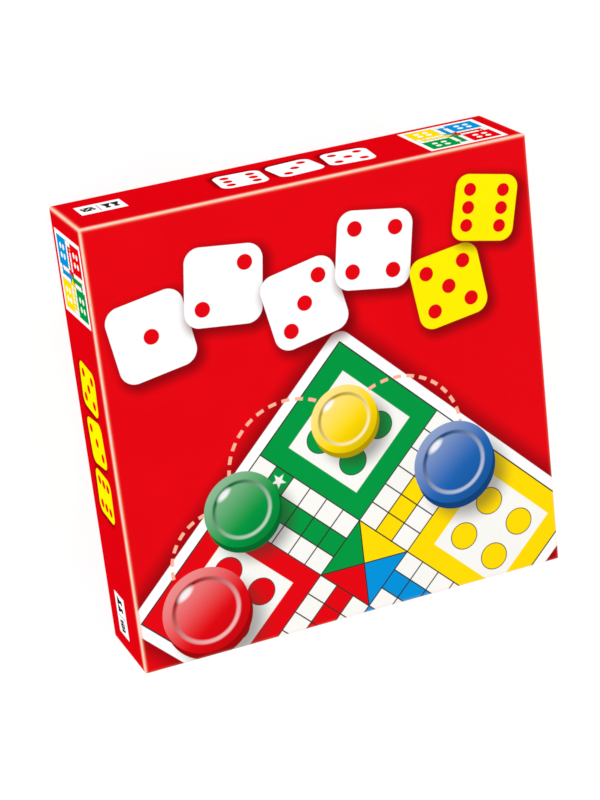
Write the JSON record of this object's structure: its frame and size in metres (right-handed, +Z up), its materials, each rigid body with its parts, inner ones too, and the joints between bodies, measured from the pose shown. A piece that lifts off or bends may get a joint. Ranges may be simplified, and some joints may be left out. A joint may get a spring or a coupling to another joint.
{
  "type": "board game",
  "caption": "Square lift-off-lid cardboard game box that holds a ludo playing board, a folded card insert, coloured pawns, a die and a folded rules leaflet.",
  "frame": {"origin": "on the table under the middle of the closed box, which lies flat", "axes": "+Z up out of the lid's face, +Y towards the top edge of the lid's print, +X towards its right edge"},
  "size_m": [0.22, 0.22, 0.0484],
  "materials": {
    "greyboard": "matte",
    "corner_tape": "matte",
    "tray_paper": "satin",
    "base_paper": "matte",
    "insert_card": "matte",
    "pawn_red": "gloss",
    "pawn_green": "gloss",
    "pawn_yellow": "gloss",
    "pawn_blue": "gloss",
    "die_plastic": "gloss",
    "board_print": "satin",
    "board_backing": "matte",
    "leaflet_paper": "matte",
    "lid_print": "satin"
  },
  "bodies": {
    "tray": {"tray_board": "greyboard", "tray_corner_stays": "corner_tape", "tray_wrap": "tray_paper", "tray_base_sheet": "base_paper"},
    "insert": {"card_insert": "insert_card"},
    "playing_board": {"playing_board_core": "greyboard", "playing_board_print": "board_print", "playing_board_backing": "board_backing"},
    "leaflet": {"rules_leaflet": "leaflet_paper"},
    "lid": {"lid_board": "greyboard", "lid_corner_stays": "corner_tape", "lid_wrap": "lid_print"},
    "die": {"die": "die_plastic"},
    "pawn_red_1": {"pawn_red_1": "pawn_red"},
    "pawn_red_2": {"pawn_red_2": "pawn_red"},
    "pawn_red_3": {"pawn_red_3": "pawn_red"},
    "pawn_red_4": {"pawn_red_4": "pawn_red"},
    "pawn_green_1": {"pawn_green_1": "pawn_green"},
    "pawn_green_2": {"pawn_green_2": "pawn_green"},
    "pawn_green_3": {"pawn_green_3": "pawn_green"},
    "pawn_green_4": {"pawn_green_4": "pawn_green"},
    "pawn_yellow_1": {"pawn_yellow_1": "pawn_yellow"},
    "pawn_yellow_2": {"pawn_yellow_2": "pawn_yellow"},
    "pawn_yellow_3": {"pawn_yellow_3": "pawn_yellow"},
    "pawn_yellow_4": {"pawn_yellow_4": "pawn_yellow"},
    "pawn_blue_1": {"pawn_blue_1": "pawn_blue"},
    "pawn_blue_2": {"pawn_blue_2": "pawn_blue"},
    "pawn_blue_3": {"pawn_blue_3": "pawn_blue"},
    "pawn_blue_4": {"pawn_blue_4": "pawn_blue"}
  },
  "joints": [
    {"name": "insert_lift", "type": "slide", "parent": "tray", "child": "insert", "axis": [0, 0, 1], "range_m": [0, 0.06]},
    {"name": "playing_board_lift", "type": "slide", "parent": "insert", "child": "playing_board", "axis": [0, 0, 1], "range_m": [0, 0.06]},
    {"name": "leaflet_lift", "type": "slide", "parent": "playing_board", "child": "leaflet", "axis": [0, 0, 1], "range_m": [0, 0.04]},
    {"name": "lid_lift", "type": "slide", "parent": "leaflet", "child": "lid", "axis": [0, 0, 1], "range_m": [0, 0.1]},
    {"name": "die_lift", "type": "slide", "parent": "insert", "child": "die", "axis": [0, 0, 1], "range_m": [0, 0.0249]},
    {"name": "pawn_red_1_lift", "type": "slide", "parent": "insert", "child": "pawn_red_1", "axis": [0, 0, 1], "range_m": [0, 0.0134]},
    {"name": "pawn_red_2_lift", "type": "slide", "parent": "insert", "child": "pawn_red_2", "axis": [0, 0, 1], "range_m": [0, 0.0134]},
    {"name": "pawn_red_3_lift", "type": "slide", "parent": "insert", "child": "pawn_red_3", "axis": [0, 0, 1], "range_m": [0, 0.0134]},
    {"name": "pawn_red_4_lift", "type": "slide", "parent": "insert", "child": "pawn_red_4", "axis": [0, 0, 1], "range_m": [0, 0.0134]},
    {"name": "pawn_green_1_lift", "type": "slide", "parent": "insert", "child": "pawn_green_1", "axis": [0, 0, 1], "range_m": [0, 0.0134]},
    {"name": "pawn_green_2_lift", "type": "slide", "parent": "insert", "child": "pawn_green_2", "axis": [0, 0, 1], "range_m": [0, 0.0134]},
    {"name": "pawn_green_3_lift", "type": "slide", "parent": "insert", "child": "pawn_green_3", "axis": [0, 0, 1], "range_m": [0, 0.0134]},
    {"name": "pawn_green_4_lift", "type": "slide", "parent": "insert", "child": "pawn_green_4", "axis": [0, 0, 1], "range_m": [0, 0.0134]},
    {"name": "pawn_yellow_1_lift", "type": "slide", "parent": "insert", "child": "pawn_yellow_1", "axis": [0, 0, 1], "range_m": [0, 0.0134]},
    {"name": "pawn_yellow_2_lift", "type": "slide", "parent": "insert", "child": "pawn_yellow_2", "axis": [0, 0, 1], "range_m": [0, 0.0134]},
    {"name": "pawn_yellow_3_lift", "type": "slide", "parent": "insert", "child": "pawn_yellow_3", "axis": [0, 0, 1], "range_m": [0, 0.0134]},
    {"name": "pawn_yellow_4_lift", "type": "slide", "parent": "insert", "child": "pawn_yellow_4", "axis": [0, 0, 1], "range_m": [0, 0.0134]},
    {"name": "pawn_blue_1_lift", "type": "slide", "parent": "insert", "child": "pawn_blue_1", "axis": [0, 0, 1], "range_m": [0, 0.0134]},
    {"name": "pawn_blue_2_lift", "type": "slide", "parent": "insert", "child": "pawn_blue_2", "axis": [0, 0, 1], "range_m": [0, 0.0134]},
    {"name": "pawn_blue_3_lift", "type": "slide", "parent": "insert", "child": "pawn_blue_3", "axis": [0, 0, 1], "range_m": [0, 0.0134]},
    {"name": "pawn_blue_4_lift", "type": "slide", "parent": "insert", "child": "pawn_blue_4", "axis": [0, 0, 1], "range_m": [0, 0.0134]}
  ]
}
